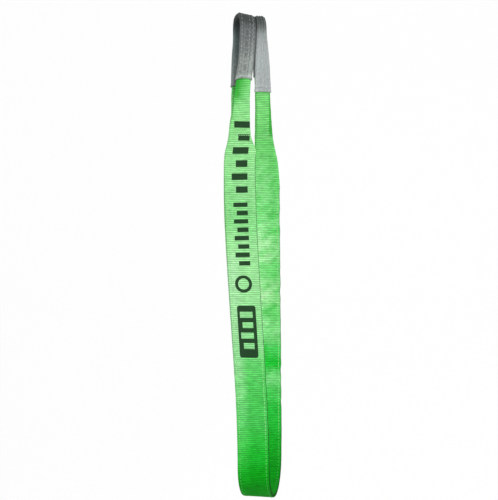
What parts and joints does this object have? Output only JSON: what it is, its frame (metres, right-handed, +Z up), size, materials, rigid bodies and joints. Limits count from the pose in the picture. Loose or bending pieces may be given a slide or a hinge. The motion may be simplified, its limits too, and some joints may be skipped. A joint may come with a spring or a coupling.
{
  "type": "flat web sling",
  "caption": "Flat sewn webbing sling with a soft sleeved eye at each end, hanging as a basket: both eyes on one hook bar and the bight under a round load.",
  "frame": {"origin": "the middle of the hook bar's axis, where both eyes lie side by side", "axes": "+X along the axis of the round load in the bight, +Y towards the rear leg, +Z up; the hook bar's axis is turned 26 degrees from +X towards +Y"},
  "size_m": [0.0959, 0.1344, 0.9391],
  "materials": {
    "green_webbing": "ribbed woven polyester webbing, slightly glossy",
    "grey_sleeve": "close-woven grey sleeve, matt",
    "green_thread": "light green sewing thread",
    "grey_thread": "light grey sewing thread"
  },
  "bodies": {
    "front_eye": {"front_eye_webbing": "green_webbing", "front_eye_sleeve": "grey_sleeve", "front_sleeve_seam": "grey_thread"},
    "front_leg": {"front_leg_outer_ply": "green_webbing", "front_leg_inner_ply": "green_webbing", "front_leg_seams": "green_thread", "front_throat_stitching": "green_thread"},
    "bight_1": {"bight_1_outer_ply": "green_webbing", "bight_1_inner_ply": "green_webbing", "bight_1_seams": "green_thread"},
    "bight_2": {"bight_2_outer_ply": "green_webbing", "bight_2_inner_ply": "green_webbing", "bight_2_seams": "green_thread"},
    "bight_3": {"bight_3_outer_ply": "green_webbing", "bight_3_inner_ply": "green_webbing", "bight_3_seams": "green_thread"},
    "bight_4": {"bight_4_outer_ply": "green_webbing", "bight_4_inner_ply": "green_webbing", "bight_4_seams": "green_thread"},
    "bight_5": {"bight_5_outer_ply": "green_webbing", "bight_5_inner_ply": "green_webbing", "bight_5_seams": "green_thread"},
    "rear_leg": {"rear_leg_outer_ply": "green_webbing", "rear_leg_inner_ply": "green_webbing", "rear_leg_seams": "green_thread", "rear_throat_stitching": "green_thread"},
    "rear_eye": {"rear_eye_webbing": "green_webbing", "rear_eye_sleeve": "grey_sleeve", "rear_sleeve_seam": "grey_thread"}
  },
  "joints": [
    {"name": "front_leg_swing", "type": "hinge", "parent": "front_eye", "child": "front_leg", "pos_m": [-0.02031, -0.02064, -0.19977], "axis": [0.8988, 0.4384, 0], "range_deg": [-45, 15]},
    {"name": "basket_open", "type": "hinge", "parent": "front_leg", "child": "bight_1", "pos_m": [0, -0.06528, -0.85767], "axis": [-1, 0, 0], "range_deg": [0, 31]},
    {"name": "basket_open_2", "type": "hinge", "parent": "bight_1", "child": "bight_2", "pos_m": [0, -0.0487, -0.88957], "axis": [-1, 0, 0], "range_deg": [0, 31]},
    {"name": "basket_open_3", "type": "hinge", "parent": "bight_2", "child": "bight_3", "pos_m": [0, -0.01798, -0.90823], "axis": [-1, 0, 0], "range_deg": [0, 31]},
    {"name": "basket_open_4", "type": "hinge", "parent": "bight_3", "child": "bight_4", "pos_m": [0, 0.01797, -0.90823], "axis": [-1, 0, 0], "range_deg": [0, 31]},
    {"name": "basket_open_5", "type": "hinge", "parent": "bight_4", "child": "bight_5", "pos_m": [0, 0.0487, -0.88957], "axis": [-1, 0, 0], "range_deg": [0, 31]},
    {"name": "basket_open_6", "type": "hinge", "parent": "bight_5", "child": "rear_leg", "pos_m": [0, 0.06528, -0.85767], "axis": [-1, 0, 0], "range_deg": [0, 31]},
    {"name": "rear_eye_swing", "type": "hinge", "parent": "rear_leg", "child": "rear_eye", "pos_m": [0.00863, 0.02064, -0.19945], "axis": [0.8988, 0.4384, 0], "range_deg": [-45, 45]}
  ]
}
